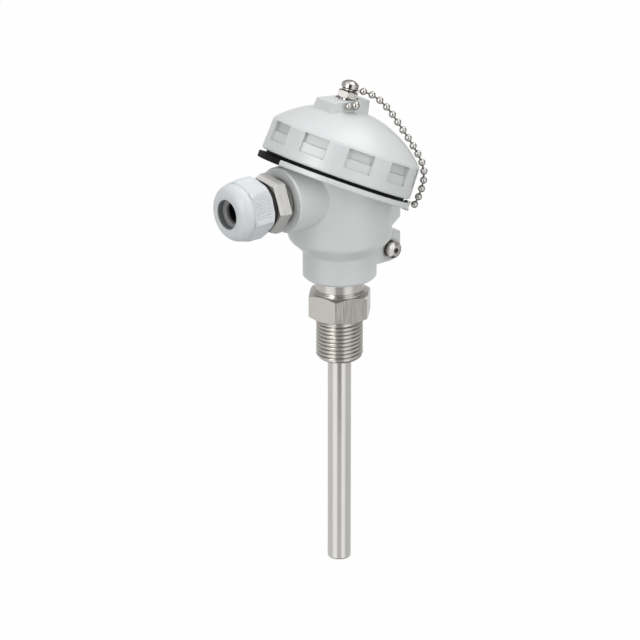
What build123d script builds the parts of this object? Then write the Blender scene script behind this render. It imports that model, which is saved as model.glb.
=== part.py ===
from build123d import *
import os
from math import cos, radians, sin, sqrt, tan

# Thermocouple probe with a cast connection head, in millimetres.
# The origin is on the stem axis at the underside of the hexagon, where the pipe thread's shoulder seats.
# +Z runs up the stem into the head, and the cable gland points along -X.

# Stem and process fitting
thread_r = 20.955 / 2        # half-inch parallel pipe thread, over its crests
thread_len = 19.8
thread_lead = 1.4            # chamfer at the thread's end
hex_af = 26.0
hex_len = 11.8
hex_turn = -13.0             # degrees, how the hexagon stands when the thread is tight
neck_r = 10.9
neck_len = 6.9
nipple_r = 9.9               # upper thread, screwed into the head's collar
nipple_len = 14.0
tube_r = 5.25
tube_wall = 1.0
tube_len = 116.9             # below the shoulder
tube_tip = 1.5               # thickness of the welded tip
tube_round = 0.9
tube_socket = 26.0           # how far the tube reaches up into the fitting

# Measuring insert
insulator_r = 3.4
insulator_count = 6
insulator_gap = 0.3
insulator_top = 38.6
insulator_foot = 6.1         # from the tube's floor to the lowest rod
wire_r = 0.5
wire_bore_gap = 0.1
wire_pitch = 3.2             # between the two wires
junction_r = 0.95
junction_drop = 2.0          # below the last insulator

# Head casting
collar_r = 16.4
collar_len = 12.5
flare_r = 21.0
flare_len = 4.4
bowl_r = 23.1
bowl_round = 4.6
wall = 3.1
floor_t = 4.6                # from the collar's bore to the terminal chamber
lid_tilt = 25.5              # degrees between the lid's axis and the stem
lid_x = -2.9
lid_z = 65.66
flange_lip = 0.7             # from the cap's rim to the flange's edge
flange_t = 2.5
spigot_h = 9.0               # threaded spigot that carries the cap
spigot_wall = 4.0
spigot_sink = 0.8            # how far that bore cuts into the flange

# Gasket, with a tab that lies in a notch of the flange
gasket_t = 1.6
gasket_gap = 0.3             # round the spigot
gasket_inset = 2.5           # from the cap's rim
tab_lap = 0.8                # of the tab under the ring
tab_from = 124.0
tab_to = 182.0
tab_gap = 0.2

# Screw cap
cap_r = 34.5
cap_draft = 0.3
rim_round = 0.9
band_h = 13.6
band_bevel = 0.6
dome_foot = 1.2              # height of the bevel that ends the band
dome_rise = 14.6
dome_inner_low = 3.2         # inner dome under the outer one
cap_skirt = 5.4              # wall over the spigot, thread included
cap_thread_gap = 0.1
pocket_count = 10
pocket_phase = 24.8
pocket_w = 12.0
pocket_low = 5.0
pocket_step = 4.3
pocket_deep = 3.0
pocket_shallow = 1.8

# Lug on the dome and the chain screw
lug_off = -10.7              # from the cap's axis, towards the gland
lug_top = 34.0               # height of its centre over the flange
lug_tilt = 8.0               # of its top face, from the horizontal
lug_lean = 18.5              # of its walls, from the stem
lug_len = 20.8
lug_w = 11.2
lug_depth = 12.0
lug_draft_len = 3.0
lug_draft_w = 8.0
lug_round = 0.8
screw_shift = 1.7            # chain screw, from the lug's centre
screw_lean = 20.0
seat_r = 5.0
seat_sink = 0.9
chain_screw_r = 2.0
chain_screw_depth = 6.0
lock_washer_r = 3.5
lock_washer_t = 0.9
lock_nut_af = 8.0
lock_nut_turn = 20.0
lock_nut_t = 3.2
loop_room = 1.4
chain_head_r = 3.8
chain_head_h = 3.6

# Ball chain
bead_r = 1.6
bead_pitch = 4.13
chain_wire_r = 0.45
coupling_r = 1.95
loop_r = 2.75
loop_wire_r = 0.5
anchor_turn = -42.0          # of the anchor, round the flange
anchor_inset = 1.3           # from the flange's edge
anchor_reach = 3.3           # from the rivet out to the last bead
anchor_rise = 0.3            # of the last bead, over the flange's top
eyelet_t = 0.4
eyelet_r = 1.5
eyelet_gap = 0.3
rivet_r = 0.9
rivet_head_r = 1.4
rivet_head_t = 0.5
rivet_foot_r = 1.7
rivet_foot_t = 0.9

# Web on the low side with the earth screw
web_t = 5.5
web_x = 32.6
web_low = 20.2
web_ledge = 33.0
web_notch = 40.0
web_top = 44.3
web_slope = 35.0
earth_x = 27.0
earth_z = 25.9
earth_hole_r = 2.0
earth_washer_r = 4.5
earth_washer_t = 0.8
earth_spring_r = 3.6
earth_spring_t = 1.0
earth_head_r = 3.8
earth_head_h = 2.3
earth_socket_af = 2.5
earth_socket_depth = 1.4

# Cable gland
gland_z = 61.4
boss_r = 14.75
boss_x = -33.5
boss_bevel = 0.7
entry_r = 10.0
entry_gap = 0.05
entry_grip = 9.0             # thread inside the boss
entry_show = 4.5             # thread left to see
gland_turn = -12.5
body_af = 23.4
body_hex_len = 4.2
body_collar_len = 2.8
body_collar_af = 22.4
body_neck_r = 10.3
body_neck_len = 9.5
gland_bore_r = 7.0
claw_count = 10
claw_r = 9.8
claw_in = 8.6
claw_len = 4.0
claw_slot = 1.2
nut_af = 24.0
nut_gap = 1.2                # between the nut and the body's collar
nut_len = 16.9
nut_thread_gap = 0.1
nut_flat_len = 8.0           # of the corner edges, before the cone takes them down
nut_dome = 11.0              # from the nut's back to the dome's rim
nut_shoulder_r = 12.8
nut_shoulder = 11.6
nut_face_r = 7.5
nut_mouth_r = 6.4
nut_front_t = 2.8
seal_bore_r = 4.8
seal_r = 8.3
seal_len = 10.8
seal_gap = 0.3
seal_room = 2.2              # from the body's collar to the shoulder of the seal's bore

# Terminal block
block_gap = 0.8              # to the chamber's wall
block_t = 8.0
block_screw_inset = 2.7      # from the block's edge
block_bore_r = 4.2
pillar_r = 3.2
pillar_h = 3.6
block_screw_r = 2.0
block_screw_head_r = 3.4
block_screw_head_t = 2.6
post_x = 9.5
post_l = 8.0
post_w = 9.0
post_h = 10.0
post_hole_r = 2.1
post_screw_r = 1.9
post_screw_head_r = 3.0
post_screw_head_t = 2.2
wire_entry_h = 2.2

# Places worked out from the sizes above
block_r = bowl_r - wall - block_gap
block_pitch = 2 * (block_r - block_screw_inset)
spigot_r = cap_r - cap_skirt - cap_thread_gap
spigot_bore = spigot_r - spigot_wall
flange_r = cap_r + flange_lip
gasket_in = spigot_r + gasket_gap
gasket_out = cap_r - gasket_inset
tab_in = gasket_out - tab_lap
anchor_r = flange_r - anchor_inset
last_bead_r = anchor_r + anchor_reach
insulator_stack = insulator_top + tube_len - tube_tip - insulator_foot
insulator_len = (insulator_stack - (insulator_count - 1) * insulator_gap) / insulator_count
hex_top = hex_len
collar_z = hex_top + neck_len
bowl_z = collar_z + collar_len + flare_len
nipple_top = collar_z + nipple_len
floor_z = nipple_top + floor_t
fitting_top = nipple_top - 0.3
body_z0 = -entry_grip
hex_z0 = entry_show
hex_z1 = hex_z0 + body_hex_len
body_collar_z = hex_z1 + body_collar_len
nut_z0 = body_collar_z + nut_gap
nut_z1 = nut_z0 + nut_len
block_z = floor_z + pillar_h
block_top = block_z + block_t
rim = gasket_t
cap_top_r = cap_r - cap_draft
dome_r = cap_top_r - band_bevel
dome_z = rim + band_h + dome_foot
dome_sphere_r = (dome_r ** 2 + dome_rise ** 2) / (2 * dome_rise)
crown_z = dome_z + dome_rise
sphere_z = crown_z - dome_sphere_r

tilt = radians(lid_tilt)
lid = Plane(origin=(lid_x, 0, lid_z), x_dir=(cos(tilt), 0, -sin(tilt)), z_dir=(sin(tilt), 0, cos(tilt)))
gland = Plane(origin=(boss_x, 0, gland_z), x_dir=(0, 1, 0), z_dir=(-1, 0, 0))


def leaning(origin, degrees):
    """A plane whose normal leans from +Z towards +X."""
    a = radians(degrees)
    return Plane(origin=origin, x_dir=(cos(a), 0, -sin(a)), z_dir=(sin(a), 0, cos(a)))


lug_centre = lid.from_local_coords(Vector(lug_off, 0, lug_top))
lug_face = leaning(lug_centre, lug_tilt)
screw_seat = leaning(lug_face.from_local_coords(Vector(screw_shift, 0, -seat_sink)), screw_lean)


def rod(r, z0, z1):
    return Pos(0, 0, z0) * Cylinder(r, z1 - z0, align=(Align.CENTER, Align.CENTER, Align.MIN))


def ring(r_out, r_in, z0, z1):
    return rod(r_out, z0, z1) - rod(r_in, z0 - 1, z1 + 1)


def prism(across_flats, turn, z0, z1):
    outline = RegularPolygon(across_flats / 2, 6, major_radius=False, rotation=turn)
    return Pos(0, 0, z0) * extrude(outline, z1 - z0)


def turned(*edges):
    """A solid of revolution from edges drawn as (radius, height), closed along the axis."""
    return revolve(make_face(Plane.XZ * Wire(edges)), Axis.Z)


def cone_bite(r_out, r_in, z_in, z_out):
    """A stock ring that leaves a cone from r_in at z_out back to r_out at z_in."""
    far = r_out + 10
    points = [(r_in, z_out), (far, z_out), (far, z_in), (r_out, z_in)]
    return revolve(make_face(Plane.XZ * Polyline(points, close=True)), Axis.Z)


# Stem: hexagon, pipe thread, neck and upper thread are one turned piece
def process_fitting():
    corner_r = hex_af / 2 / cos(radians(30))
    bevel = (corner_r - hex_af / 2) * tan(radians(30))
    body = prism(hex_af, hex_turn, 0, hex_top)
    body -= cone_bite(corner_r, hex_af / 2 - 0.2, bevel, 0)
    body -= cone_bite(corner_r, hex_af / 2 - 0.2, hex_top - bevel, hex_top)
    thread = chamfer(rod(thread_r, -thread_len, 0).edges().group_by(Axis.Z)[0], thread_lead)
    body += thread
    body += rod(neck_r, hex_top, collar_z)
    body += rod(nipple_r, collar_z, fitting_top)
    body -= rod(tube_r, -thread_len - 1, tube_socket)
    body -= rod(tube_r - tube_wall, tube_socket - 1, fitting_top + 1)
    return body


def stem_tube():
    tube = rod(tube_r, -tube_len, tube_socket)
    tube = fillet(tube.edges().group_by(Axis.Z)[0], tube_round)
    return tube - rod(tube_r - tube_wall, -tube_len + tube_tip, tube_socket + 1)


def insulator_z(i):
    return insulator_top - (i + 1) * insulator_len - i * insulator_gap


# Two-bore ceramic rods, threaded on the wires
def insulator_beads():
    beads = []
    for i in range(insulator_count):
        bead = rod(insulator_r, insulator_z(i), insulator_z(i) + insulator_len)
        for side in (-1, 1):
            bead -= Pos(side * wire_pitch / 2, 0, insulator_z(i)) * rod(wire_r + wire_bore_gap, -1, insulator_len + 1)
        beads.append(bead)
    return Compound(children=[solid for bead in beads for solid in bead.solids()])


junction_z = insulator_z(insulator_count - 1) - junction_drop


def hot_junction():
    bar = Rot(0, 90, 0) * Cylinder(junction_r, wire_pitch)
    ends = [Pos(side * wire_pitch / 2, 0, 0) * Sphere(junction_r) for side in (-1, 1)]
    return Pos(0, 0, junction_z) * (bar + ends[0] + ends[1])


def thermocouple_wire(side):
    x = side * wire_pitch / 2
    rise = block_top + wire_entry_h
    bend = 1.6
    inner = side * (post_x - post_l / 2 + 2.0)
    knee = 1 - cos(radians(45))
    path = Wire([
        Line((x, 0, junction_z + junction_r), (x, 0, rise - bend)),
        ThreePointArc((x, 0, rise - bend), (x + side * bend * knee, 0, rise - bend * knee), (x + side * bend, 0, rise)),
        Line((x + side * bend, 0, rise), (inner, 0, rise)),
    ])
    start = Plane(origin=path @ 0, z_dir=(0, 0, 1))
    return sweep(start * Circle(wire_r), path=path)


# Head casting: collar, bowl, flange, threaded spigot, gland boss and web in one piece
def web_outline():
    """Earth lug on the collar, and over a notch the rib that carries the flange's low end."""
    slope = tan(radians(web_slope))
    root = collar_r - 3
    inner = bowl_r - wall / 2
    tip_x = lid_x + flange_r * cos(tilt)
    tip_z = lid_z - flange_r * sin(tilt)
    lug_face = make_face(Polyline([
        (root, web_low), (earth_x, web_low), (web_x, earth_z), (web_x, web_ledge), (root, web_ledge),
    ], close=True))
    rib_face = make_face(Polyline([
        (inner, web_notch - (web_x - inner) * slope), (web_x, web_notch), (web_x, web_top),
        (tip_x - 2, tip_z - 1.5), (inner, tip_z),
    ], close=True))
    corner = Pos(earth_x, earth_z) * Circle(min(web_x - earth_x, earth_z - web_low))
    return lug_face + corner, rib_face


def head_housing():
    knee = (bowl_r - 0.5, bowl_z + bowl_round * 0.4)
    high = lid_z + flange_r
    outer = turned(
        Line((0, collar_z), (collar_r - 1, collar_z)),
        Line((collar_r - 1, collar_z), (collar_r, collar_z + 1)),
        Line((collar_r, collar_z + 1), (collar_r, collar_z + collar_len)),
        Line((collar_r, collar_z + collar_len), (flare_r, bowl_z)),
        ThreePointArc((flare_r, bowl_z), knee, (bowl_r, bowl_z + bowl_round)),
        Line((bowl_r, bowl_z + bowl_round), (bowl_r, high)),
        Line((bowl_r, high), (0, high)),
        Line((0, high), (0, collar_z)),
    )
    above = lid * rod(200, -flange_t / 2, 200)
    boss = gland * rod(boss_r, boss_x, 0)
    boss = chamfer(boss.edges().group_by(Axis.X)[0], boss_bevel)
    shell = outer + boss
    for outline in web_outline():
        shell += Plane.XZ * extrude(outline, web_t / 2, both=True)
    shell -= above
    flange = lid * rod(flange_r, -flange_t, 0)
    flange = chamfer(flange.edges(), 0.4)
    shell += flange
    shell += lid * chamfer(rod(spigot_r, -1, spigot_h).edges().group_by(Axis.Z)[-1], 0.8)
    # hollows
    chamber = rod(bowl_r - wall, floor_z, high) - lid * rod(200, 0, 200)
    chamber += lid * rod(spigot_bore, -spigot_sink, spigot_h + 1)
    shell -= chamber
    for side in (-1, 1):
        shell += Pos(0, side * block_pitch / 2, 0) * rod(pillar_r, floor_z - 1, block_z)
        shell -= Pos(0, side * block_pitch / 2, 0) * rod(block_screw_r, floor_z + 0.4, block_z + 1)
    shell -= rod(nipple_r, collar_z - 1, nipple_top)
    shell -= rod(tube_r, nipple_top - 1, floor_z + 1)
    shell -= gland * rod(entry_r, boss_x, 1)
    shell -= Pos(earth_x, 0, earth_z) * Rot(90, 0, 0) * Cylinder(earth_hole_r, web_t * 2)
    shell -= lid * Rot(0, 0, anchor_turn) * Pos(anchor_r, 0, 0) * rod(rivet_r, -flange_t - 1, 1)
    shell -= lid * sector(flange_r + 1, tab_in - tab_gap, tab_from - 1, tab_to + 0.4, -flange_t - 1, 0.01)
    return shell


def sector(r_out, r_in, a0, a1, z0, z1):
    """Part of a ring between two angles."""
    wedge = Pos(0, 0, z0) * extrude(make_face(Wire([
        Line((0, 0), (r_out * cos(radians(a0)), r_out * sin(radians(a0)))),
        CenterArc((0, 0), r_out, a0, a1 - a0),
        Line((r_out * cos(radians(a1)), r_out * sin(radians(a1))), (0, 0)),
    ])), z1 - z0)
    return wedge - rod(r_in, z0 - 1, z1 + 1)


def cap_gasket():
    seal = ring(gasket_out, gasket_in, 0, gasket_t)
    tab = sector(flange_r, tab_in, tab_from, tab_to, -flange_t, 0)
    lip = sector(gasket_out, tab_in, tab_from, tab_to, -0.1, 0.5)
    return lid * (seal + tab + lip)


# Screw cap: skirt with two-level pockets, dome and lug
def screw_cap():
    half = dome_sphere_r * sin(radians(20))
    crown = (half, sphere_z + dome_sphere_r * cos(radians(20)))
    low_edge = (cap_r - rim_round * (1 - sin(radians(45))), rim + rim_round * (1 - cos(radians(45))))
    outer = turned(
        Line((0, rim), (cap_r - rim_round, rim)),
        ThreePointArc((cap_r - rim_round, rim), low_edge, (cap_r, rim + rim_round)),
        Line((cap_r, rim + rim_round), (cap_top_r, rim + band_h)),
        Line((cap_top_r, rim + band_h), (dome_r, dome_z)),
        ThreePointArc((dome_r, dome_z), crown, (0, crown_z)),
        Line((0, crown_z), (0, rim)),
    )
    inner_r = spigot_r + cap_thread_gap
    inner_sphere = dome_sphere_r - dome_inner_low
    inner_at = sphere_z + sqrt(inner_sphere ** 2 - inner_r ** 2)
    inner_crown = (inner_sphere * sin(radians(20)), sphere_z + inner_sphere * cos(radians(20)))
    inner = turned(
        Line((0, rim - 1), (inner_r, rim - 1)),
        Line((inner_r, rim - 1), (inner_r, inner_at)),
        ThreePointArc((inner_r, inner_at), inner_crown, (0, sphere_z + inner_sphere)),
        Line((0, sphere_z + inner_sphere), (0, rim - 1)),
    )
    cap = lid * outer + lug()
    cap -= lid * inner
    for i in range(pocket_count):
        turn = Rot(0, 0, pocket_phase + i * 360 / pocket_count)
        for depth, low, high in ((pocket_shallow, 0, pocket_step), (pocket_deep, pocket_step, band_h - pocket_low)):
            bite = Box(depth + 5, pocket_w, high - low, align=(Align.MIN, Align.CENTER, Align.MIN))
            cap -= lid * turn * Pos(cap_r - depth, 0, rim + pocket_low + low) * bite
    cap -= screw_seat * rod(seat_r, 0, 6)
    cap -= screw_seat * rod(chain_screw_r, -chain_screw_depth - 0.5, 1)
    return cap


def lug():
    lean = Vector(sin(radians(lug_lean)), 0, cos(radians(lug_lean)))
    foot = leaning(lug_centre - lean * lug_depth, lug_tilt)
    grow_len = 2 * lug_depth * tan(radians(lug_draft_len))
    grow_w = 2 * lug_depth * tan(radians(lug_draft_w))
    block = loft([foot * Rectangle(lug_len + grow_len, lug_w + grow_w), lug_face * Rectangle(lug_len, lug_w)])
    top = block.faces().sort_by(Axis.Z)[-1]
    return fillet(top.edges(), lug_round * 0.7)


# Chain screw with its lock nut and spring washer; the chain's loop lies between nut and head
nut_seat = lock_washer_t
loop_z = nut_seat + lock_nut_t + loop_room / 2
head_z = nut_seat + lock_nut_t + loop_room


def domed_head(r, h, z0):
    edge = z0 + h * 0.5
    ball = (r ** 2 + (h / 2) ** 2) / h
    half = (r / ball) / 2
    middle = (ball * sin(half), z0 + h - ball + ball * cos(half))
    return turned(
        Line((0, z0), (r, z0)),
        Line((r, z0), (r, edge)),
        ThreePointArc((r, edge), middle, (0, z0 + h)),
        Line((0, z0 + h), (0, z0)),
    )


def chain_screw():
    screw = rod(chain_screw_r, -chain_screw_depth, head_z) + domed_head(chain_head_r, chain_head_h, head_z)
    return screw_seat * screw


def chain_lock_nut():
    corner_r = lock_nut_af / 2 / cos(radians(30))
    nut = prism(lock_nut_af, lock_nut_turn, nut_seat, nut_seat + lock_nut_t) & domed_stock(corner_r, nut_seat, lock_nut_t)
    return screw_seat * (nut - rod(chain_screw_r, 0, head_z))


def domed_stock(corner_r, z0, t):
    return chamfer(rod(corner_r, z0, z0 + t).edges().group_by(Axis.Z)[-1], 0.6, 0.35)


def spring_ring(r_out, r_in, z0, t, slot=0.5):
    split = Pos((r_out + r_in) / 2, 0, z0 + t / 2) * Rot(30, 0, 0) * Box(r_out - r_in + 2, slot, t * 3)
    return ring(r_out, r_in, z0, z0 + t) - split


def chain_lock_washer():
    return screw_seat * Rot(0, 0, 200) * spring_ring(lock_washer_r, chain_screw_r + 0.1, 0, lock_washer_t)


# Ball chain from the screw down to the flange, with its loop and tail
loop_centre = screw_seat.from_local_coords(Vector(0, 0, loop_z))
anchor_dir = Vector(cos(radians(anchor_turn)), sin(radians(anchor_turn)), 0)
last_bead = lid.from_local_coords(anchor_dir * last_bead_r + Vector(0, 0, anchor_rise))
span = Vector(last_bead.X - loop_centre.X, last_bead.Y - loop_centre.Y, 0)
drop = loop_centre.Z - last_bead.Z


def chain_point(along, height):
    """A point given as shares of the way out and of the drop."""
    return Vector(loop_centre.X, loop_centre.Y, last_bead.Z) + span * along + Vector(0, 0, drop * height)


chain_route = [
    chain_point(0.215, 0.993),
    chain_point(0.480, 0.920),
    chain_point(0.732, 0.748),
    chain_point(0.966, 0.546),
    chain_point(1.137, 0.321),
    chain_point(1.105, 0.154),
    last_bead,
]


def link(a, b):
    way = b - a
    return Plane(origin=a, z_dir=way) * rod(chain_wire_r, 0, way.length)


def chain_beads():
    """Bead centres at even steps along the route, the lowest first."""
    path = Spline(chain_route)
    steps = round(path.length / bead_pitch)
    return [path.position_at(path.length * (1 - i / steps), position_mode=PositionMode.LENGTH) for i in range(steps + 1)]


def ball_chain():
    beads = chain_beads()
    across = span.cross(Vector(0, 0, 1))
    ways = [b - a for a, b in zip(beads, beads[1:])]
    pieces = [link(a, b) for a, b in zip(beads, beads[1:])]
    for bead, way in zip(beads, ways + ways[-1:]):
        pieces.append(Plane(origin=bead, x_dir=across.cross(way), z_dir=across) * Sphere(bead_r))
    return pieces[0].fuse(*pieces[1:])


# Wire loop that turns round the chain screw and ends at the first bead
def chain_loop():
    bead = chain_beads()[-1]
    normal = screw_seat.z_dir
    start = loop_centre + (span - normal * span.dot(normal)).normalized() * loop_r
    way = bead - start
    loop = screw_seat * Pos(0, 0, loop_z) * Torus(loop_r, loop_wire_r)
    return loop + link(start, bead - way.normalized() * (bead_r + 0.05))


# Short tail of the chain, with its coupling, that hangs over the lug's front edge
def chain_coupling():
    ball = coupling_r
    hang = lug_face.from_local_coords(Vector(0.3, -lug_w / 2 - ball - 0.5, -1.4))
    second = hang - lug_face.x_dir * (ball + bead_r + 0.3)
    root = loop_centre - Vector(0, loop_r + loop_wire_r + 0.1, 0)
    knee = Vector(hang.X, hang.Y, loop_centre.Z)
    tail = Pos(*hang) * Sphere(ball)
    pieces = [Pos(*second) * Sphere(bead_r), link(hang, second), Pos(*knee) * Sphere(chain_wire_r), link(root, knee)]
    pieces.append(link(knee, hang))
    return tail.fuse(*pieces)


def chain_eyelet():
    disc = Pos(anchor_r, 0, 0) * ring(eyelet_r, rivet_r, 0, eyelet_t)
    reach = last_bead_r - bead_r - eyelet_gap
    tongue = Pos(anchor_r + rivet_r, 0, 0) * Box(reach - anchor_r - rivet_r, 1.6, eyelet_t,
                                                align=(Align.MIN, Align.CENTER, Align.MIN))
    return lid * Rot(0, 0, anchor_turn) * (disc + tongue)


def chain_rivet():
    rivet = rod(rivet_r, -flange_t, eyelet_t)
    rivet += rod(rivet_head_r, eyelet_t, eyelet_t + rivet_head_t)
    rivet += chamfer(rod(rivet_foot_r, -flange_t - rivet_foot_t, -flange_t).edges().group_by(Axis.Z)[0], 0.4)
    return lid * Rot(0, 0, anchor_turn) * Pos(anchor_r, 0, 0) * rivet


# Earth screw on the web, its axis along -Y
earth = Plane(origin=(earth_x, -web_t / 2, earth_z), x_dir=(1, 0, 0), z_dir=(0, -1, 0))
earth_spring_z = earth_washer_t
earth_head_z = earth_washer_t + earth_spring_t


def earth_washer():
    return earth * ring(earth_washer_r, earth_hole_r + 0.1, 0, earth_washer_t)


def earth_spring_washer():
    return earth * Rot(0, 0, 100) * spring_ring(earth_spring_r, earth_hole_r + 0.1, earth_spring_z, earth_spring_t)


def earth_screw():
    head = domed_head(earth_head_r, earth_head_h, earth_head_z)
    socket_z = earth_head_z + earth_head_h - earth_socket_depth
    head -= prism(earth_socket_af, 0, socket_z, socket_z + earth_head_h)
    return earth * (rod(earth_hole_r, -web_t, earth_head_z) + head)


# Cable gland: body, claws, seal and dome nut
def gland_body():
    body = rod(entry_r - entry_gap, body_z0, hex_z0)
    body += prism(body_af, gland_turn, hex_z0, hex_z1)
    collar = prism(body_collar_af, gland_turn, hex_z1, body_collar_z)
    body += collar & domed_stock(body_collar_af / 2 + 1.2, hex_z1, body_collar_len)
    body += rod(body_neck_r, body_collar_z, body_collar_z + body_neck_len)
    body -= rod(gland_bore_r, body_z0 - 1, body_collar_z + seal_room)
    body -= rod(seal_r + seal_gap, body_collar_z + seal_room, body_collar_z + body_neck_len + 1)
    return gland * body


def gland_claws():
    z0 = body_collar_z + body_neck_len
    claws = ring(claw_r, claw_in, z0, z0 + claw_len)
    for i in range(claw_count):
        slot = Box(claw_r * 2, claw_slot, claw_len, align=(Align.MIN, Align.CENTER, Align.MIN))
        claws -= Rot(0, 0, i * 360 / claw_count) * Pos(0, 0, z0 + 1) * slot
    return gland * claws


def gland_seal():
    z1 = nut_z1 - nut_front_t
    seal = ring(seal_r, seal_bore_r, z1 - seal_len, z1)
    return gland * seal


def gland_nut():
    corner_r = nut_af / 2 / cos(radians(30)) + 0.2
    dome_mid = (nut_shoulder_r * 0.915, nut_z0 + nut_shoulder + (nut_len - nut_shoulder) * 0.66)
    stock = turned(
        Line((0, nut_z0), (corner_r, nut_z0)),
        Line((corner_r, nut_z0), (corner_r, nut_z0 + nut_flat_len)),
        Line((corner_r, nut_z0 + nut_flat_len), (nut_shoulder_r, nut_z0 + nut_shoulder)),
        ThreePointArc((nut_shoulder_r, nut_z0 + nut_shoulder), dome_mid, (nut_face_r, nut_z1)),
        Line((nut_face_r, nut_z1), (0, nut_z1)),
        Line((0, nut_z1), (0, nut_z0)),
    )
    flats = prism(nut_af, gland_turn, nut_z0, nut_z0 + nut_dome)
    nut = stock & (flats + rod(corner_r, nut_z0 + nut_dome, nut_z1))
    thread_wall = body_neck_r + nut_thread_gap
    nut -= rod(thread_wall, nut_z0 - 1, nut_z1 - nut_front_t)
    nut -= rod(nut_mouth_r, nut_z0, nut_z1 + 1)
    return gland * nut


# Terminal block with two brass posts
def terminal_block():
    block = rod(block_r, block_z, block_top)
    block = chamfer(block.edges(), 0.6)
    block -= rod(block_bore_r, block_z - 1, block_top + 1)
    for side in (-1, 1):
        block -= Pos(0, side * block_pitch / 2, 0) * rod(block_screw_r + 0.3, block_z - 1, block_top + 1)
    return block


def block_screws():
    screws = []
    for side in (-1, 1):
        screw = rod(block_screw_r, floor_z + 0.4, block_top) + domed_head(block_screw_head_r, block_screw_head_t,
                                                                         block_top)
        slot = Pos(0, 0, block_top + block_screw_head_t) * Box(8, 0.8, 1.6)
        screws.append(Pos(0, side * block_pitch / 2, 0) * (screw - slot))
    return Compound(children=[solid for screw in screws for solid in screw.solids()])


def terminal_post(side):
    post = Pos(0, 0, block_top) * Box(post_l, post_w, post_h, align=(Align.CENTER, Align.CENTER, Align.MIN))
    post = fillet(post.edges().filter_by(Axis.Z), 1.0)
    post -= Pos(0, 0, block_top + post_h * 0.58) * Rot(90, 0, 0) * Cylinder(post_hole_r, post_w * 2)
    post -= rod(post_screw_r, block_top + post_h * 0.58, block_top + post_h + 1)
    mouth = Pos(-side * post_l / 2, 0, block_top + wire_entry_h) * Rot(0, 90, 0)
    post -= mouth * Cylinder(wire_r, 4.0)
    return Pos(side * post_x, 0, 0) * post


def terminal_screws():
    screws = []
    for side in (-1, 1):
        top = block_top + post_h
        screw = rod(post_screw_r, block_top + post_h * 0.72, top)
        screw += domed_head(post_screw_head_r, post_screw_head_t, top)
        slot = Pos(0, 0, top + post_screw_head_t) * Box(8, 0.7, 1.6)
        screws.append(Pos(side * post_x, 0, 0) * (screw - slot))
    return Compound(children=[solid for screw in screws for solid in screw.solids()])


parts = {
    "process_fitting": process_fitting(),
    "stem_tube": stem_tube(),
    "insulator_beads": insulator_beads(),
    "hot_junction": hot_junction(),
    "thermocouple_wire_positive": thermocouple_wire(1),
    "thermocouple_wire_negative": thermocouple_wire(-1),
    "head_housing": head_housing(),
    "cap_gasket": cap_gasket(),
    "screw_cap": screw_cap(),
    "chain_screw": chain_screw(),
    "chain_lock_nut": chain_lock_nut(),
    "chain_lock_washer": chain_lock_washer(),
    "ball_chain": ball_chain(),
    "chain_loop": chain_loop(),
    "chain_coupling": chain_coupling(),
    "chain_eyelet": chain_eyelet(),
    "chain_rivet": chain_rivet(),
    "earth_washer": earth_washer(),
    "earth_spring_washer": earth_spring_washer(),
    "earth_screw": earth_screw(),
    "gland_body": gland_body(),
    "gland_claws": gland_claws(),
    "gland_seal": gland_seal(),
    "gland_nut": gland_nut(),
    "terminal_block": terminal_block(),
    "block_screws": block_screws(),
    "terminal_post_positive": terminal_post(1),
    "terminal_post_negative": terminal_post(-1),
    "terminal_screws": terminal_screws(),
}

os.makedirs("parts", exist_ok=True)
for name, shape in parts.items():
    export_step(shape, f"parts/{name}.step")
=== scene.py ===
from math import acos, asin, atan2, ceil, cos, hypot, pi, radians, sin, tan

import bmesh
import bpy
from mathutils import Matrix, Vector


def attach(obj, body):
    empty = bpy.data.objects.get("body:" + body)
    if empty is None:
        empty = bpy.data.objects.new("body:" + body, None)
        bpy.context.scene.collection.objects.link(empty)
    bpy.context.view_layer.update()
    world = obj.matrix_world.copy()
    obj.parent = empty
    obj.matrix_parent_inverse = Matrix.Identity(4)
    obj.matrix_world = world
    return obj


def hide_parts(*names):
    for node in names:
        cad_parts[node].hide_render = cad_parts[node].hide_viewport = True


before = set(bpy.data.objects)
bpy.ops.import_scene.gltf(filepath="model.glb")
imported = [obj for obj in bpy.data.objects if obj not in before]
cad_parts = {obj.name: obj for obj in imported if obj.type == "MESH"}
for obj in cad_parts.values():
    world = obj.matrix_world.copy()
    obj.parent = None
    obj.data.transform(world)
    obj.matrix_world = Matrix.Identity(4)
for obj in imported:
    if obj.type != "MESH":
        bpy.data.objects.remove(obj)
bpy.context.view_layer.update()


# Measuring insert: two thermocouple wires welded at the tip and strung through
# six two-bore ceramic rods. It stays inside the tube and is seen only in section.
mm = 0.001


class Value:
    """A shader socket that can stand in a sum; every operator adds the Math node that does it."""

    def __init__(self, shading, socket):
        self.shading = shading
        self.socket = socket

    def math(self, operation, *values):
        return self.shading.node("ShaderNodeMath", {"operation": operation}, dict(enumerate(values)))

    def __add__(self, other):
        return self.math("ADD", self, other)

    __radd__ = __add__

    def __mul__(self, other):
        return self.math("MULTIPLY", self, other)

    __rmul__ = __mul__

    def __sub__(self, other):
        return self.math("SUBTRACT", self, other)

    def __rsub__(self, other):
        return self.math("SUBTRACT", other, self)

    def above(self, edge, soft):
        """0 under the edge and 1 over it, eased over a soft width."""
        return self.shading.node("ShaderNodeMapRange", {"interpolation_type": "SMOOTHSTEP"},
                                 {0: self, 1: edge - soft / 2, 2: edge + soft / 2})


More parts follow.
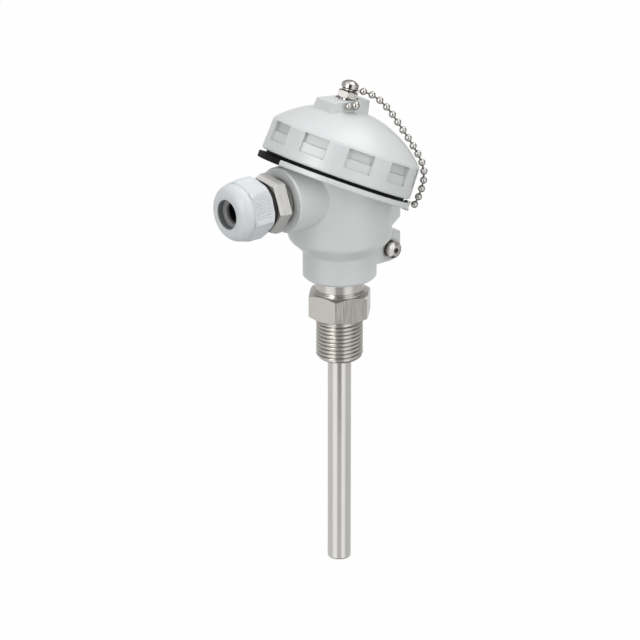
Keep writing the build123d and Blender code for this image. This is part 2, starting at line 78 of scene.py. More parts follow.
class Shading:
    """The shader nodes of a material or of the world."""

    def __init__(self, tree):
        self.tree = tree

    def node(self, kind, settings=None, values=None, out=0):
        """One output of a new node, after its settings are set and its sockets are fed."""
        made = self.tree.nodes.new(kind)
        for name, value in (settings or {}).items():
            setattr(made, name, value)
        for socket, value in (values or {}).items():
            self.feed(made.inputs[socket], value)
        return Value(self, made.outputs[out])

    def feed(self, socket, value):
        """Links a value to a socket, or sets the socket to a number or a colour."""
        if isinstance(value, Value):
            self.tree.links.new(value.socket, socket)
        else:
            socket.default_value = value

    def mix(self, share, first, second):
        """A colour between two: the first at a share of 0, the second at 1."""
        return self.node("ShaderNodeMix", {"data_type": "RGBA"},
                         {"Factor": share, "A": first, "B": second}, out=2)


class Finish(Shading):
    """A material on one Principled shader, whose even values are set as it is made."""

    def __init__(self, name, **even):
        self.material = bpy.data.materials.new(name)
        self.material.use_nodes = True
        super().__init__(self.material.node_tree)
        self.shader = self.tree.nodes["Principled BSDF"]
        self.surface(**even)

    def surface(self, **sockets):
        """Feeds sockets of the shader, which are named in small letters, such as base_color."""
        for name, value in sockets.items():
            self.feed(self.shader.inputs[name.replace("_", " ").title().replace("Ior", "IOR")], value)

    def vector(self, operation, *values, out=0):
        return self.node("ShaderNodeVectorMath", {"operation": operation}, dict(enumerate(values)), out)

    def place(self, scale=(1, 1, 1)):
        """The point on the piece in millimetres, each axis times its scale."""
        return self.vector("MULTIPLY", self.node("ShaderNodeTexCoord", out="Object"), [s / mm for s in scale])

    def noise(self, scale=(1, 1, 1), detail=3.0, rough=0.5):
        """Noise with about one lump to a millimetre, times scale, spread round one half."""
        return self.node("ShaderNodeTexNoise", None,
                         {"Vector": self.place(scale), "Scale": 1.0, "Detail": detail, "Roughness": rough})

    def along(self, origin, axis):
        """Millimetres along an axis from a point of the part's frame."""
        return self.vector("DOT_PRODUCT", self.vector("SUBTRACT", self.place(), origin), axis, out="Value")

    def around(self, origin, axis):
        """Millimetres from the line that runs along an axis through a point of the part's frame."""
        away = self.vector("CROSS_PRODUCT", self.vector("SUBTRACT", self.place(), origin), axis)
        return self.vector("LENGTH", away, out="Value")

    def bump(self, height, depth, under=None):
        """A normal from a height of 0 to 1 that stands for depth in millimetres."""
        values = {"Height": height, "Distance": depth * mm, "Strength": 1.0}
        if under:
            values["Normal"] = under
        return self.node("ShaderNodeBump", None, values)

    def soft_edges(self, radius):
        """A normal that rounds every edge by a small radius."""
        return self.node("ShaderNodeBevel", {"samples": 6}, {"Radius": radius * mm})


def dress(finish, *names):
    """Gives nodes of the part a finish."""
    for name in names:
        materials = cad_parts[name].data.materials
        materials.clear()
        materials.append(finish.material)


ceramic = Finish("ceramic", roughness=0.7)
speckle = ceramic.noise((2, 2, 2))
ceramic.surface(base_color=ceramic.mix(speckle, (0.80, 0.77, 0.70, 1), (0.88, 0.86, 0.80, 1)),
                normal=ceramic.bump(speckle, 0.03))

thermo_alloy = Finish("thermo_alloy", metallic=1.0)
drawn = thermo_alloy.noise((8, 8, 0.4))
thermo_alloy.surface(base_color=thermo_alloy.mix(drawn, (0.33, 0.30, 0.27, 1), (0.45, 0.42, 0.38, 1)),
                     roughness=0.3 + 0.2 * drawn)

dress(ceramic, "insulator_beads")
dress(thermo_alloy, "hot_junction", "thermocouple_wire_positive", "thermocouple_wire_negative")


# Stem tube: drawn stainless tube, closed by a welded tip that is turned round at its edge.
# It is pressed and brazed into the process fitting.
round_step = radians(15)


def eased(*corners):
    """A profile of (radius, height) points, where a third number rounds that corner."""
    points = []
    for i, corner in enumerate(corners):
        here = Vector(corner[:2])
        if len(corner) < 3:
            points.append(here)
            continue
        back = (Vector(corners[i - 1][:2]) - here).normalized()
        ahead = (Vector(corners[i + 1][:2]) - here).normalized()
        half = acos(max(-1, min(1, back.dot(ahead)))) / 2
        start = here + back * (corner[2] / tan(half))
        end = here + ahead * (corner[2] / tan(half))
        steps = max(2, ceil((pi - 2 * half) / round_step))
        middle = here + (back + ahead).normalized() * (corner[2] / sin(half))
        first, last = start - middle, end - middle
        sweep = first.angle_signed(last)
        for k in range(steps + 1):
            points.append(middle + Matrix.Rotation(-sweep * k / steps, 2) @ first)
    return [tuple(p) for p in points]


def wrap(rows, turn=0.0, steps=144):
    """Points and faces of a skin round the z axis.

    A row is (radius, height), and each of the two is a number or a rule that gives it by angle.
    """
    points = []
    for radius, height in rows:
        for i in range(steps + 1):
            angle = radians(turn) + 2 * pi * i / steps
            r = radius(angle) if callable(radius) else radius
            z = height(angle) if callable(height) else height
            points.append((r * cos(angle), r * sin(angle), z))
    faces = []
    for j in range(len(rows) - 1):
        for i in range(steps):
            a = j * (steps + 1) + i
            faces.append((a, a + 1, a + steps + 2, a + steps + 1))
    return points, faces


scene = bpy.context.scene
weld_gap, sliver = 0.0005, 0.0002


def piece(name, skins, finish, body, stands_for=(), at=Matrix.Identity(4), crease=35.0):
    """One mesh from one or several (points, faces) in millimetres, set in place and put on its body."""
    mesh = bpy.data.meshes.new(name)
    work = bmesh.new()
    for points, faces in skins:
        corners = [work.verts.new(at @ Vector(p) * mm) for p in points]
        for face in faces:
            work.faces.new([corners[k] for k in face])
    bmesh.ops.remove_doubles(work, verts=work.verts, dist=weld_gap * mm)
    bmesh.ops.dissolve_degenerate(work, edges=work.edges, dist=sliver * mm)
    bmesh.ops.recalc_face_normals(work, faces=work.faces)
    work.to_mesh(mesh)
    work.free()
    mesh.shade_smooth()
    mesh.set_sharp_from_angle(angle=radians(crease))
    mesh.materials.append(finish.material)
    made = bpy.data.objects.new(name, mesh)
    scene.collection.objects.link(made)
    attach(made, body)
    if stands_for:
        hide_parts(*stands_for)


tube_r = 5.25
tube_bore_r = tube_r - 1.0
tube_len = 116.9
tube_tip = 1.5
tube_tip_round = 0.9
tube_socket = 26.0
tube_profile = eased((0, -tube_len), (tube_r, -tube_len, tube_tip_round), (tube_r, tube_socket),
                     (tube_bore_r, tube_socket), (tube_bore_r, tube_tip - tube_len), (0, tube_tip - tube_len))

stainless = Finish("stainless", metallic=1.0)
rings = stainless.noise((0.25, 0.25, 9), detail=4)
cloud = stainless.noise((0.12, 0.12, 0.05), detail=2)
stainless.surface(base_color=stainless.mix(cloud, (0.61, 0.60, 0.58, 1), (0.69, 0.68, 0.66, 1)),
                  roughness=0.13 + 0.12 * rings,
                  normal=stainless.bump(rings, 0.012, stainless.soft_edges(0.15)))
piece("tube", [wrap(tube_profile, steps=96)], stainless, "head", ["stem_tube"])


# Process fitting: hexagon, half-inch pipe thread, neck and upper thread, turned in one piece
# from hexagon bar. The hexagon keeps its drawn faces, everything else shows the turning tool.
thread_r, thread_pitch, thread_len, thread_lead, undercut = 10.4775, 1.814, 19.8, 1.4, 1.9
hex_af, hex_len, hex_turn = 26.0, 11.8, -15.5
neck_r, neck_len, nipple_r, nipple_len = 10.9, 6.9, 9.9, 13.7
washer_r, washer_t = neck_r + 0.9, 0.5
groove_r, groove_end, groove_blend = neck_r - 0.25, 1.2, 1.4
turned_edge = 0.15


def flat(across_flats, turn):
    """Radius of a hexagon by angle."""
    def radius(angle):
        off = (angle - radians(turn)) % (pi / 3) - pi / 6
        return across_flats / 2 / cos(off)
    return radius


def hexagon(across_flats, turn, low, high, face_low=None, face_high=None, slope=30.0):
    """Rows of a hexagon. An end that has a face radius has its corners turned back to a cone."""
    side = flat(across_flats, turn)

    def cut(face, angle):
        return max(0.0, side(angle) - face) * tan(radians(slope))

    rows = [(side, low)]
    if face_low:
        rows = [(face_low, low), (side, lambda angle: low + cut(face_low, angle))]
    if face_high:
        return rows + [(side, lambda angle: high - cut(face_high, angle)), (face_high, high)]
    return rows + [(side, high)]


# Shares of a thread's pitch: its depth, half of its crest, and the run of one flank.
depth_share, crest_share, flank_share = 0.64, 1 / 16, 1 / 4
# A lead goes down by more than the depth, and is let in a hair before the thread's end.
lead_drop, lead_hair = 1.15, 0.001


def helix(crest_r, pitch, low, high, lead_low=0.0, lead_high=0.0, samples=10):
    """Rows of a right-hand thread with rounded flanks. A lead is the length of a turned-down end."""
    depth = depth_share * pitch

    def fullness(run, lead):
        return min(1.0, (run + lead_hair) / lead) if lead else 1.0

    def row(start):
        def height(angle):
            return min(high, max(low, start + pitch * angle / (2 * pi)))

        def radius(angle):
            z = height(angle)
            share = ((z - low) / pitch - angle / (2 * pi)) % 1.0
            rise = min(1.0, max(0.0, (crest_share + flank_share - abs(share - 0.5)) / flank_share))
            wave = rise * rise * (3 - 2 * rise)
            full = min(fullness(z - low, lead_low), fullness(high - z, lead_high))
            return min(crest_r - lead_drop * depth * (1 - full), crest_r - depth * (1 - wave))

        return radius, height

    turns = (high - low) / pitch + 1
    return [row(low - pitch + pitch * k / samples) for k in range(int(turns * samples) + samples + 1)]


root_r = thread_r - depth_share * thread_pitch
undercut_r, undercut_end, shoulder_r = root_r - 0.1, 0.3, root_r + 0.2
bore_r = tube_r - 0.02
hex_face_r = hex_af / 2 - 0.2
neck_top = hex_len + neck_len
nipple_top = neck_top + nipple_len
fitting = [(bore_r, -thread_len)]
fitting += helix(thread_r, thread_pitch, -thread_len, -undercut, lead_low=thread_lead)
fitting += [(undercut_r, -undercut), (undercut_r, -undercut_end), (shoulder_r, 0.0)]
fitting += hexagon(hex_af, hex_turn, 0.0, hex_len, hex_face_r, hex_face_r)
fitting += eased((washer_r, hex_len), (washer_r, hex_len + washer_t, turned_edge),
                 (groove_r, hex_len + washer_t, turned_edge), (groove_r, hex_len + groove_end, turned_edge),
                 (neck_r, hex_len + groove_blend), (neck_r, neck_top), (nipple_r, neck_top))
fitting += [(nipple_r, nipple_top), (bore_r, nipple_top), (bore_r, -thread_len)]

# One face of the hexagon is painted darker, in streaks along the bar, as painted shade, and is rougher: the
# one whose normal has this turn.
shaded_face_turn = radians(hex_turn - 90)
bar = Finish("turned_bar", metallic=1.0)
tool = bar.noise((0.2, 0.2, 9), detail=4)
draw = bar.noise((5, 5, 0.10), detail=4, rough=0.65)
on_hex = bar.around((0, 0, 0), (0, 0, 1)).above(hex_af / 2 - 0.15, 0.1)
marks = draw * on_hex + tool * (1 - on_hex)
stain = bar.noise((0.15, 0.15, 0.15), detail=2)
facing = bar.along((0, 0, 0), (cos(shaded_face_turn), sin(shaded_face_turn), 0))
shaded_face = on_hex * facing.above(hex_af / 2 - 0.4, 0.2)
bright = bar.mix(stain, (0.55, 0.53, 0.50, 1), (0.63, 0.61, 0.58, 1))
shade_streaks = bar.mix(draw.above(0.5, 0.35), (0.20, 0.19, 0.18, 1), (0.50, 0.48, 0.45, 1))
bar.surface(base_color=bar.mix(0.9 * shaded_face, bright, shade_streaks),
            roughness=0.14 + 0.16 * marks + 0.16 * shaded_face,
            normal=bar.bump(marks, 0.02, bar.soft_edges(0.2)))
piece("threaded_fitting", [wrap(fitting, turn=hex_turn)], bar, "head", ["process_fitting"])


# Connection head: die-cast aluminium with light grey baked paint. The threaded spigot for
# the cap is machined after painting and stays bare.
lid_tilt, lid_origin = radians(25.5), (-2.9, 0.0, 65.66)
lid_axis = (sin(lid_tilt), 0.0, cos(lid_tilt))
lid_front = (cos(lid_tilt), 0.0, -sin(lid_tilt))
cap_thread_pitch, cap_thread_depth = 3.0, 1.1


def paint(name, machined):
    """Baked paint on cast metal: faint orange peel, a little cloudy.

    A machined casting is bare above the gasket's face and carries the cap's thread there.
    """
    coat = Finish(name)
    peel = coat.noise((0.8, 0.8, 0.8), detail=2)
    cloudy = coat.noise((0.05, 0.05, 0.05), detail=3)
    colour = coat.mix(cloudy, (0.580, 0.595, 0.595, 1), (0.615, 0.627, 0.625, 1))
    rough = 0.27 + 0.08 * peel
    normal = coat.bump(peel, 0.04, coat.soft_edges(0.45))
    if machined:
        up = coat.along(lid_origin, lid_axis)
        side = coat.along(lid_origin, (0, 1, 0))
        front = coat.along(lid_origin, lid_front)
        bare = up.above(0.02, 0.04)
        turned = up - side.math("ARCTAN2", side, front) * (cap_thread_pitch / (2 * pi))
        cut = turned.math("PINGPONG", turned, cap_thread_pitch / 2) * (2 / cap_thread_pitch)
        swirl = coat.noise((0.5, 0.5, 4), detail=3)
        metal = coat.mix(swirl, (0.50, 0.51, 0.52, 1), (0.66, 0.67, 0.68, 1))
        colour = coat.mix(bare, colour, metal)
        rough = rough + 0.08 * bare
        normal = coat.bump(cut.above(0.5, 0.7) * bare, cap_thread_depth, normal)
        coat.surface(metallic=bare)
    coat.surface(base_color=colour, roughness=rough, normal=normal)
    return coat


dress(paint("machined_head", machined=True), "head_housing")


# Terminal block: a white ceramic disc screwed on two pillars in the head. Each wire has
# a brass post on it, with a plated clamping screw.
brass = Finish("brass", metallic=1.0)
milled = brass.noise((3, 3, 3), detail=3)
brass.surface(base_color=brass.mix(milled, (0.66, 0.50, 0.24, 1), (0.76, 0.60, 0.32, 1)),
              roughness=0.25 + 0.2 * milled, normal=brass.soft_edges(0.2))


def plating(name, dark, light, smooth, edge=0.4):
    """Metal of the small parts, finely mottled. Edge is its brightness at a glancing angle."""
    plate = Finish(name, metallic=1.0, specular_tint=(edge, edge, edge, 1))
    mottle = plate.noise((3, 3, 3), detail=3)
    plate.surface(base_color=plate.mix(mottle, dark, light), roughness=smooth + 0.12 * mottle,
                  normal=plate.bump(mottle, 0.01, plate.soft_edges(0.12)))
    return plate


nickel = plating("nickel_plate", (0.50, 0.48, 0.46, 1), (0.60, 0.58, 0.56, 1), 0.12)
dress(ceramic, "terminal_block")
dress(brass, "terminal_post_positive", "terminal_post_negative")
dress(nickel, "block_screws", "terminal_screws")


# Earth screw: plated socket screw in the head's side lug. It clamps a plain washer
# and a spring washer of dark hardened steel.
dark_steel = plating("dark_steel", (0.10, 0.10, 0.10, 1), (0.20, 0.20, 0.20, 1), 0.25)
dress(nickel, "earth_washer", "earth_screw")
dress(dark_steel, "earth_spring_washer")


# Gasket: a ring stamped from black rubber that lies under the cap's rim.
# Its tab shows towards the gland.
black_rubber = Finish("black_rubber", specular_ior_level=0.08)
grain = black_rubber.noise((3, 3, 3), detail=3)
black_rubber.surface(base_color=black_rubber.mix(grain, (0.004, 0.004, 0.0045, 1), (0.012, 0.012, 0.0125, 1)),
                     roughness=0.5 + 0.2 * grain, normal=black_rubber.bump(grain, 0.04))
dress(black_rubber, "cap_gasket")


# Screw cap: cast and painted as the head is, with a skirt full of pockets for the hand
# and a lug on its dome that takes the chain's screw.
dress(paint("head_paint", machined=False), "screw_cap")


# Chain ends: a plated screw in the cap's lug holds the chain's wire loop with a split washer and
# a lock nut, which is turned from hexagon bar. At the lower end a rivet holds the eyelet.
lug_top, lug_axis, lock_corner = (3.638, 0, 99.827), (0.342, 0.0, 0.940), (-0.622, -0.75, 0.226)
lock_af, lock_low, lock_len, lock_bore, lock_mouth = 8.4, 0.9, 3.2, 2.02, 0.3
lock_high = lock_low + lock_len
lock_face_r = lock_af / 2 - 0.2
lock = [(lock_bore, lock_high - lock_mouth), (lock_bore, lock_low)]
lock += hexagon(lock_af, 0.0, lock_low, lock_high, lock_face_r, lock_face_r)
lock += [(lock_bore + lock_mouth, lock_high), (lock_bore, lock_high - lock_mouth)]


def stand(origin, x_dir, z_dir):
    """Where a piece's own origin, x and z lie in the part's frame, in millimetres."""
    x, z = Vector(x_dir).normalized(), Vector(z_dir).normalized()
    return Matrix.Translation(Vector(origin)) @ Matrix((x, z.cross(x), z)).transposed().to_4x4()


piece("lock_nut", [wrap(lock, steps=48)], nickel, "cap", ["chain_lock_nut"],
      stand(lug_top, lock_corner, lug_axis))
dress(nickel, "chain_screw", "chain_lock_washer", "chain_loop", "chain_coupling", "chain_eyelet",
      "chain_rivet")


# Cable gland body: nickel-plated brass, a hexagon whose front end tapers, between two threads.
# It is screwed into the head's boss, and the last turns stay in view there.
boss_face, out_of_boss, into_boss = (-33.5, 0, 61.4), (-1, 0, 0), (1, 0, 0)
gland_at = stand(boss_face, (0, 1, 0), out_of_boss)
entry_r, entry_pitch, entry_grip, entry_show, entry_lead = 9.95, 1.5, 9.0, 3.7, 1.0
body_turn, body_af, body_edge, body_hex_len, taper_af, taper_len = -6.5, 23.4, 0.2, 3.8, 21.6, 2.2
body_neck_r, body_neck_len, body_neck_lead = 10.3, 11.3, 0.8
relief_len, entry_relief_r, neck_relief_r = 0.4, entry_r - 1.1, body_neck_r - 1
gland_bore_r, seal_room_r, seal_floor = 7.0, 8.6, 4.0

body_z1 = entry_show + body_hex_len
body_z2 = body_z1 + taper_len
body_z3 = body_z2 + body_neck_len
body_flats = flat(body_af, body_turn)
body_ends = flat(body_af - 2 * body_edge, body_turn)
body = [(gland_bore_r, -entry_grip)]
body += helix(entry_r, entry_pitch, -entry_grip, entry_show - relief_len, lead_low=entry_lead)
body += [(entry_relief_r, entry_show - relief_len), (entry_relief_r, entry_show)]
body += [(body_ends, entry_show), (body_flats, entry_show + body_edge), (body_flats, body_z1 - body_edge),
         (body_ends, body_z1), (flat(taper_af, body_turn), body_z2), (neck_relief_r, body_z2)]
body += helix(body_neck_r, entry_pitch, body_z2 + relief_len, body_z3, lead_high=body_neck_lead)
body += [(seal_room_r, body_z3), (seal_room_r, body_z2 + seal_floor), (gland_bore_r, body_z2 + seal_floor),
         (gland_bore_r, -entry_grip)]

satin_nickel = Finish("satin_nickel", metallic=0.6, specular_tint=(0.8, 0.8, 0.8, 1))
brushed = satin_nickel.noise((3, 3, 3), detail=3)
satin = satin_nickel.mix(brushed, (0.57, 0.56, 0.54, 1), (0.63, 0.62, 0.60, 1))
on_flats = satin_nickel.around(boss_face, into_boss).above(body_neck_r + 0.3, 0.2)
by_boss = satin_nickel.along(boss_face, into_boss).above(-entry_show, 0.2)
# The threads are painted dark as painted shade in the gaps: nearly black by the nut, dark grey by the boss.
threads = satin_nickel.mix(by_boss, (0.10, 0.10, 0.10, 1), (0.36, 0.35, 0.33, 1))
satin_nickel.surface(base_color=satin_nickel.mix(on_flats, threads, satin), roughness=0.38 + 0.12 * brushed,
                     normal=satin_nickel.bump(brushed, 0.01, satin_nickel.soft_edges(0.2)))
piece("gland_base", [wrap(body, turn=body_turn)], satin_nickel, "head", ["gland_body"],
      gland_at)


# Gland nut: moulded light grey plastic. Six flats with fine grip ribs end under the rim of a
# dome, and a cone takes the corners down to that rim. Inside it the slit claws press on the seal.
nut_turn, nut_af, nut_z0, nut_len = -12.5, 24.0, 12.7, 16.9
nut_flat_len, nut_rim = 8.0, 11.0
nut_shoulder_r, nut_shoulder = 12.8, 11.6
nut_face_r, nut_mouth_r, nut_mouth_round, nut_front_t, nut_inner_r = 7.5, 6.4, 0.4, 2.8, 10.4
nut_back_r, nut_back_len, nut_back_slope = nut_af / 2 + 0.3, 1.2, 40
rib_pitch, rib_rise, rib_field, rib_end, rib_fade = 0.9, 0.26, 9.9, 1.4, 0.35
rim_groove, rim_edge, rim_rise, rim_proud, rim_end = 0.45, 0.1, 0.15, 0.02, 0.5
nut_z1, rim_z = nut_z0 + nut_len, nut_z0 + nut_rim
dome_mid_r, dome_mid_z = 0.915 * nut_shoulder_r, nut_z1 - 0.34 * (nut_len - nut_shoulder)
nut_side = flat(nut_af, nut_turn)
nut_corner_r = nut_af / 2 / cos(radians(30)) + 0.2
nut_cone = (nut_corner_r - nut_shoulder_r) / (nut_shoulder - nut_flat_len)


def arc(first, middle, last, steps):
    """Points of a circle through three points."""
    (ax, ay), (bx, by), (cx, cy) = first, middle, last
    d = 2 * (ax * (by - cy) + bx * (cy - ay) + cx * (ay - by))
    ox = ((ax**2 + ay**2) * (by - cy) + (bx**2 + by**2) * (cy - ay) + (cx**2 + cy**2) * (ay - by)) / d
    oy = ((ax**2 + ay**2) * (cx - bx) + (bx**2 + by**2) * (ax - cx) + (cx**2 + cy**2) * (bx - ax)) / d
    start, end = atan2(ay - oy, ax - ox), atan2(cy - oy, cx - ox)
    r = hypot(ax - ox, ay - oy)
    angles = [start + (end - start) * k / steps for k in range(steps + 1)]
    return [(ox + r * cos(angle), oy + r * sin(angle)) for angle in angles]


def nut_skin(height, ribs=0.0):
    """Radius of the nut's outside at a height over its back: flats that the cone cuts, plain or ribbed."""
    cone = nut_corner_r - max(0.0, height - nut_flat_len) * nut_cone

    def radius(angle):
        off = (angle - radians(nut_turn)) % (pi / 3) - pi / 6
        across = nut_af / 2 * tan(off)
        rib = 0.0
        if ribs and abs(across) < rib_field / 2:
            rib = -ribs * (0.5 - 0.5 * cos(2 * pi * (across / rib_pitch + 0.5)))
        return min(cone, nut_side(angle) + rib)
    return radius


rim_r = nut_skin(nut_rim)(radians(nut_turn))


def rim_foot(angle):
    """Radius of the groove under the rim: round, except where the flats stand out of it."""
    side = nut_side(angle)
    return max(side if side < rim_r else 0.0, rim_r - rim_groove)


ribbed = [(h, rib_rise) for h in (rib_end + rib_fade, 4.0, 6.0, nut_flat_len, nut_rim - rib_end)]
plain = [(nut_rim + h, 0.0) for h in (rib_fade - rib_end, -0.6, -0.2)]
nut = [(nut_inner_r, nut_z0)]
nut += hexagon(nut_af, nut_turn, nut_z0, nut_z0 + nut_back_len, nut_back_r, slope=nut_back_slope)
nut += [(nut_skin(h, ribs), nut_z0 + h) for h, ribs in [(rib_end, 0.0)] + ribbed + plain]
nut += [(rim_foot, rim_z - rim_edge), (rim_r - rim_edge, rim_z + rim_rise),
        (rim_r + rim_proud, rim_z + rim_end)]
nut += arc((nut_shoulder_r, nut_z0 + nut_shoulder), (dome_mid_r, dome_mid_z), (nut_face_r, nut_z1), 14)
nut += eased((nut_face_r, nut_z1), (nut_mouth_r, nut_z1, nut_mouth_round),
             (nut_mouth_r, nut_z1 - nut_front_t))
nut += [(nut_inner_r, nut_z1 - nut_front_t), (nut_inner_r, nut_z0)]

grey_plastic = Finish("grey_plastic")
pores = grey_plastic.noise((2, 2, 2), detail=3)
cloudy = grey_plastic.noise((0.12, 0.12, 0.12), detail=2)
# Inside the mouth the plastic is painted dark, as painted shade in the recess.
outside = grey_plastic.around(boss_face, into_boss).above(nut_mouth_r + 0.25, 0.3)
moulded = grey_plastic.mix(cloudy, (0.575, 0.60, 0.61, 1), (0.62, 0.64, 0.65, 1))
grey_plastic.surface(base_color=grey_plastic.mix(outside, (0.16, 0.165, 0.165, 1), moulded),
                     roughness=0.30 + 0.12 * pores,
                     normal=grey_plastic.bump(pores, 0.03, grey_plastic.soft_edges(0.35)))
dress(grey_plastic, "gland_claws")
piece("dome_nut", [wrap(nut, turn=nut_turn, steps=720)], grey_plastic, "gland_nut",
      ["gland_nut"], gland_at, crease=50)


# Seal: a moulded rubber sleeve in the gland that the claws press on the cable. It is lighter grey at its
# front lip, and painted black farther in, as painted shade in its bore.
seal_bore_r, seal_r, seal_len, seal_back_round, seal_front_round = 4.8, 8.3, 10.8, 0.4, 0.6
seal_z1 = nut_z1 - nut_front_t
seal_z0 = seal_z1 - seal_len
# Steps of the bore from the front: how much wider it is there, how deep, and how round.
seal_steps = ((0.9, 0.0, 0.2), (0.7, 0.5, 0.15), (0.0, 0.5, 0.25), (0.0, 3.2, 0.3),
              (0.5, 3.8, 0.3), (0.5, 7.0, 0.3), (0.0, 7.6, 0.3))
seal = eased((seal_bore_r, seal_z0), (seal_r, seal_z0, seal_back_round), (seal_r, seal_z1, seal_front_round),
             *((seal_bore_r + wider, seal_z1 - deep, soft) for wider, deep, soft in seal_steps),
             (seal_bore_r, seal_z0))

seal_rubber = Finish("seal_rubber", roughness=0.5, specular_ior_level=0.25)
dull = seal_rubber.noise((3, 3, 3), detail=3)
inward = seal_rubber.along(boss_face, into_boss) + seal_z1
lip_grey = seal_rubber.mix(dull, (0.26, 0.26, 0.26, 1), (0.34, 0.34, 0.34, 1))
bore_shade = seal_rubber.mix(dull, (0.012, 0.012, 0.012, 1), (0.02, 0.02, 0.02, 1))
# Farther in than the lip the bore is painted black, as painted shade.
seal_rubber.surface(base_color=seal_rubber.mix(inward.above(2.0, 1.2), lip_grey, bore_shade),
                    normal=seal_rubber.bump(dull, 0.03, seal_rubber.soft_edges(0.2)))
piece("sealing_sleeve", [wrap(seal, steps=96)], seal_rubber, "gland_seal", ["gland_seal"],
      gland_at)


# Ball chain: hollow beads rolled from nickel-plated strip, on dumbbell wires that can swivel
# in them. It hangs in an arch from the coupling down to the eyelet on the flange.
bead_r, bead_hole_r, bead_lip, bead_count, bead_rows = 1.6, 0.62, 0.35, 16, 14
chain_wire_r, knob_r, knob_inset, knob_len, knob_taper = 0.42, 0.72, 0.9, 0.2, 0.3
knob_round, knob_edge = 0.5, 0.15
chain_route = [(22.2, -24.9, 54.0), (24.0, -27.6, 60.2), (24.9, -29.0, 71.9), (20.8, -22.9, 83.7),
               (20.8, -22.9, 83.6), (13.2, -11.7, 102.8), (8.9, -5.4, 104.0)]


def spline(route):
    """Points close together on a smooth line that runs along the route."""
    data = bpy.data.curves.new("route", "CURVE")
    data.dimensions = "3D"
    line = data.splines.new("NURBS")
    line.points.add(len(route) - 1)
    for point, place in zip(line.points, route):
        point.co = (*place, 1)
    line.use_endpoint_u = True
    line.order_u = 3
    line.resolution_u = 40
    holder = bpy.data.objects.new("route", data)
    mesh = bpy.data.meshes.new_from_object(holder)
    points = [v.co.copy() for v in mesh.vertices]
    bpy.data.objects.remove(holder)
    return points


def evenly(points, count):
    """Points at even steps along a line."""
    run = [0.0]
    for a, b in zip(points, points[1:]):
        run.append(run[-1] + (b - a).length)
    found, k = [], 0
    for i in range(count):
        want = run[-1] * i / (count - 1)
        while k < len(points) - 2 and run[k + 1] < want:
            k += 1
        found.append(points[k].lerp(points[k + 1], (want - run[k]) / (run[k + 1] - run[k])))
    return found


def aimed(skin, origin, way):
    """A skin made round z, moved so that its z axis runs along a way."""
    points, faces = skin
    side = Vector((0, 0, 1)) if abs(way.normalized().z) < 0.9 else Vector((1, 0, 0))
    at = stand(origin, side.cross(way), way)
    return [tuple(at @ Vector(p)) for p in points], faces


def ball():
    """Rows of a bead: a ball between two holes, whose lips are rolled inwards."""
    lip = asin(bead_hole_r / bead_r)
    lip_z = bead_r * cos(lip)
    angles = [lip + (pi - 2 * lip) * k / bead_rows for k in range(bead_rows + 1)]
    rows = [(bead_r * sin(angle), -bead_r * cos(angle)) for angle in angles]
    return [(bead_hole_r, bead_lip - lip_z)] + rows + [(bead_hole_r, lip_z - bead_lip)]


def dumbbell(gap):
    """Rows of the wire between two beads whose centres are a gap apart, with a knob inside each."""
    low = bead_r - knob_inset
    high = gap - low
    return eased((0, low - knob_r), (knob_r, low - knob_r, knob_round), (knob_r, low + knob_len, knob_edge),
                 (chain_wire_r, low + knob_len + knob_taper),
                 (chain_wire_r, high - knob_len - knob_taper), (knob_r, high - knob_len, knob_edge),
                 (knob_r, high + knob_r, knob_round), (0, high + knob_r))


bead = wrap(ball(), steps=24)
centres = evenly(spline(chain_route), bead_count)
last_bead = bead_count - 1
beads = [aimed(bead, centre, centres[min(i + 1, last_bead)] - centres[max(i - 1, 0)])
         for i, centre in enumerate(centres)]
wires = [aimed(wrap(dumbbell((b - a).length), steps=12), a, b - a) for a, b in zip(centres, centres[1:])]
bead_nickel = plating("bead_nickel", (0.50, 0.48, 0.46, 1), (0.60, 0.58, 0.56, 1), 0.02, edge=0.0)
# The wires are painted dark, as painted shade between the beads.
shaded_wire_nickel = plating("shaded_wire_nickel", (0.16, 0.155, 0.15, 1), (0.26, 0.25, 0.24, 1), 0.3)
piece("chain_beads", beads, bead_nickel, "cap", ["ball_chain"])
piece("chain_wires", wires, shaded_wire_nickel, "cap")


# Studio: a white table that the tube's end stands on, soft light from both sides and from above,
# pale and dark cards that only the reflections show, and the camera.
table_half, table_top = 3.0, -tube_len * mm
table_mesh = bpy.data.meshes.new("table")
table_ends = ((-table_half, -table_half), (table_half, -table_half), (table_half, table_half),
              (-table_half, table_half))
table_mesh.from_pydata([(x, y, table_top) for x, y in table_ends], [], [(0, 1, 2, 3)])
table = bpy.data.objects.new("table", table_mesh)
scene.collection.objects.link(table)
table.visible_glossy = False


def shown(shading):
    """1 for the rays that show a thing, straight, in a gloss or through glass, and 0 for the rest."""
    kinds = ("Is Camera Ray", "Is Glossy Ray", "Is Transmission Ray")
    straight, gloss, through = (shading.node("ShaderNodeLightPath", out=kind) for kind in kinds)
    return straight.math("MAXIMUM", straight.math("MAXIMUM", straight, gloss), through)


table_white = 0.985
white = Finish("table_white", base_color=(0.55, 0.55, 0.55, 1), roughness=0.6)
glow = white.node("ShaderNodeEmission", None, {"Color": (1, 1, 1, 1), "Strength": 1.0})
blended = white.node("ShaderNodeMixShader", None,
                     {0: shown(white) * table_white, 1: Value(white, white.shader.outputs[0]), 2: glow})
white.feed(white.tree.nodes["Material Output"].inputs["Surface"], blended)
table_mesh.materials.append(white.material)

world = bpy.data.worlds.new("studio")
scene.world = world
world.use_nodes = True
sky = Shading(world.node_tree)
tone = sky.mix(shown(sky), (0.42, 0.425, 0.43, 1), (1, 1, 1, 1))
sky.feed(sky.tree.nodes["Background"].inputs["Color"], tone)


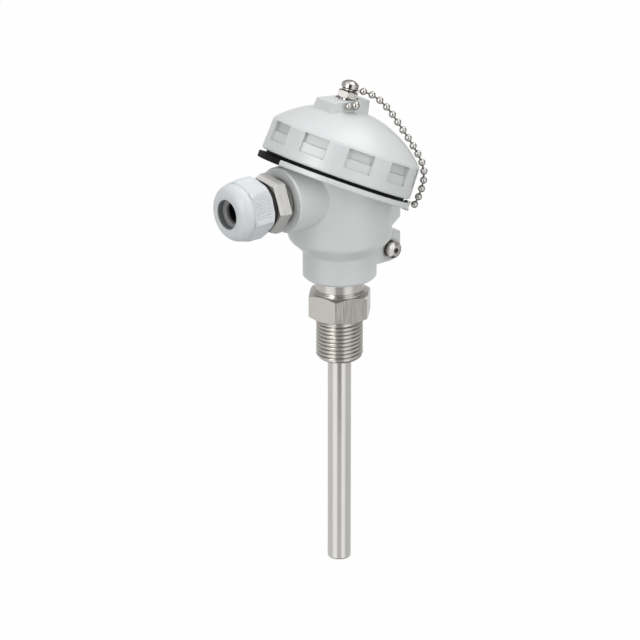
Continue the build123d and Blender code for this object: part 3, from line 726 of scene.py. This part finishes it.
def softbox(name, way, size, glow, far=1.3):
    """A soft light of an even glow, at a way and distance from the head, that faces it."""
    light = bpy.data.lights.new(name, "AREA")
    light.shape = "RECTANGLE"
    light.size, light.size_y = size
    light.energy = glow * pi * size[0] * size[1]
    lamp = bpy.data.objects.new(name, light)
    lamp.location = Vector(way).normalized() * far
    lamp.rotation_mode = "QUATERNION"
    lamp.rotation_quaternion = Vector(way).to_track_quat("Z", "Y")
    lamp.visible_camera = False
    lamp.visible_glossy = False
    scene.collection.objects.link(lamp)


softbox("left_strip", (-0.95, -0.12, 0.0), (0.9, 3.0), 1.7)
softbox("right_strip", (0.04, -0.95, 0.0), (0.9, 3.0), 1.7)
softbox("overhead", (0.20, 0.0, 1.0), (1.5, 1.5), 1.9)


def card(name, turns, rises, glow, far=1.6):
    """A card bent round the object at some turns and rises, in degrees, which only reflections show."""
    steps = 16
    points = []
    for rise in rises:
        for k in range(steps + 1):
            turn = radians(turns[0] + (turns[1] - turns[0]) * k / steps)
            points.append((far * sin(turn), -far * cos(turn), far * tan(radians(rise))))
    mesh = bpy.data.meshes.new(name)
    mesh.from_pydata(points, [], [(k, k + 1, k + steps + 2, k + steps + 1) for k in range(steps)])
    made = bpy.data.objects.new(name, mesh)
    scene.collection.objects.link(made)
    even = Finish(name, base_color=(0, 0, 0, 1), emission_color=(glow, glow, glow, 1), emission_strength=1.0)
    mesh.materials.append(even.material)
    for kind in ("camera", "diffuse", "shadow", "transmission"):
        setattr(made, "visible_" + kind, False)


card("left_glow", (-102, -66), (-70, 2), 1.15)
card("left_key", (-104, -66), (2, 55), 1.5)
card("left_bright", (-86, -66), (6, 40), 6.0, far=1.5)
card("front_shade", (-58, -20), (-70, 0), 0.66)
card("near_shade", (-58, -20), (-28, -18.5), 0.18, far=0.5)
card("lens", (-60, -18), (0, 40), 0.03)
card("right_glow", (-14, 14), (-70, 0), 1.15)
card("right_key", (-14, 30), (0, 50), 1.5)
card("right_shade", (24, 110), (-50, 6), 0.66)
card("back_shade", (110, 248), (-50, 6), 0.74)
card("side_dark", (34, 110), (6, 38), 0.35)
card("back_dark", (110, 248), (6, 50), 0.55)
card("low_dark", (14, 256), (-80, -50), 0.08)
card("low_front", (-104, 14), (-80, -58), 0.08, far=1.5)
card("top_glow", (70, 110), (42, 75), 3.6)

view_turn, view_rise, view_far = radians(-39.0), radians(21.0), 2200.0
aim_height, aim_shift = -2.6, -8.7
right = Vector((cos(view_turn), sin(view_turn), 0))
back = Vector((sin(view_turn) * cos(view_rise), -cos(view_turn) * cos(view_rise), sin(view_rise)))
aim = Vector((0, 0, aim_height)) + aim_shift * right
camera = bpy.data.cameras.new("camera")
camera.sensor_width = 36.0
camera.lens = 277.94
camera.clip_start, camera.clip_end = 0.1, 20.0
eye = bpy.data.objects.new("camera", camera)
eye.location = (aim + back * view_far) * mm
eye.rotation_mode = "QUATERNION"
eye.rotation_quaternion = back.to_track_quat("Z", "Y")
scene.collection.objects.link(eye)
scene.camera = eye
scene.view_settings.view_transform = "Standard"
